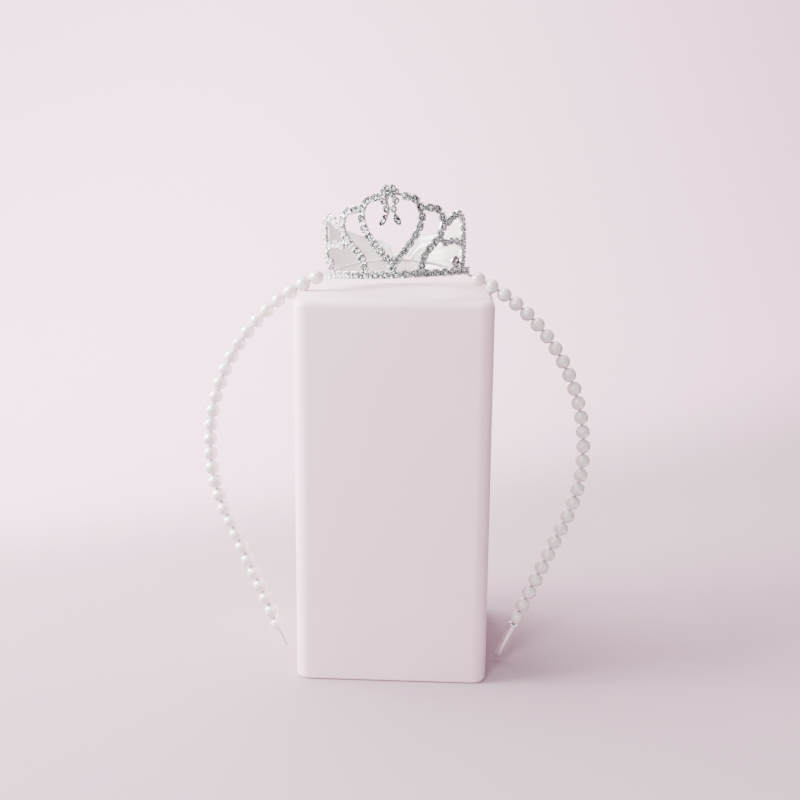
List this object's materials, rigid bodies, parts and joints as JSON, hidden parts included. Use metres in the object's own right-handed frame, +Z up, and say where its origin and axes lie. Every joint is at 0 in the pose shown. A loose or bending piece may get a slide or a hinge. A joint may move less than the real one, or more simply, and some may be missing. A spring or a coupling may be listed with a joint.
{
  "type": "mini crown headband on a display block",
  "caption": "Bent wire headband strung with pearls, with sleeved ends and a small open tiara of stone-set chains and a satin ribbon back on top, straddling a plain block that it is shown on.",
  "frame": {"origin": "centre of the block's base, on the surface that the block and the headband's ends rest on", "axes": "+Z up, +X to the right as seen from the front, the front of the tiara towards -Y"},
  "size_m": [0.1312, 0.0642, 0.1632],
  "materials": {
    "painted_block": "smooth matte paint, warm white with a touch of pink",
    "silver_wire": "bright silver wire",
    "silver_sleeve": "polished silver",
    "silver_setting": "bright silver, soldered cups and wire",
    "pearl": "ivory pearl lustre",
    "clear_stone": "clear cut stones with a mirrored back",
    "satin_ribbon": "ivory satin"
  },
  "bodies": {
    "root": {"display_block": "painted_block", "headband_wire": "silver_wire", "pearls_left": "pearl", "pearls_right": "pearl", "end_sleeve_left": "silver_sleeve", "end_sleeve_right": "silver_sleeve", "tiara_frame": "silver_setting", "ribbon_left": "satin_ribbon", "ribbon_right": "satin_ribbon", "ribbon_knot": "satin_ribbon", "base_stones": "clear_stone", "heart_stones_left": "clear_stone", "heart_stones_right": "clear_stone", "inner_loop_stones_left": "clear_stone", "inner_loop_stones_right": "clear_stone", "outer_loop_stones_left": "clear_stone", "outer_loop_stones_right": "clear_stone", "scroll_stones_left": "clear_stone", "scroll_stones_right": "clear_stone", "scroll_eye_stone_left": "clear_stone", "scroll_eye_stone_right": "clear_stone", "flower_petal_stones": "clear_stone", "flower_centre_stone": "clear_stone", "bow_upper_stones": "clear_stone", "bow_lower_stones": "clear_stone", "bow_drop_left": "clear_stone", "bow_drop_right": "clear_stone"}
  },
  "joints": []
}
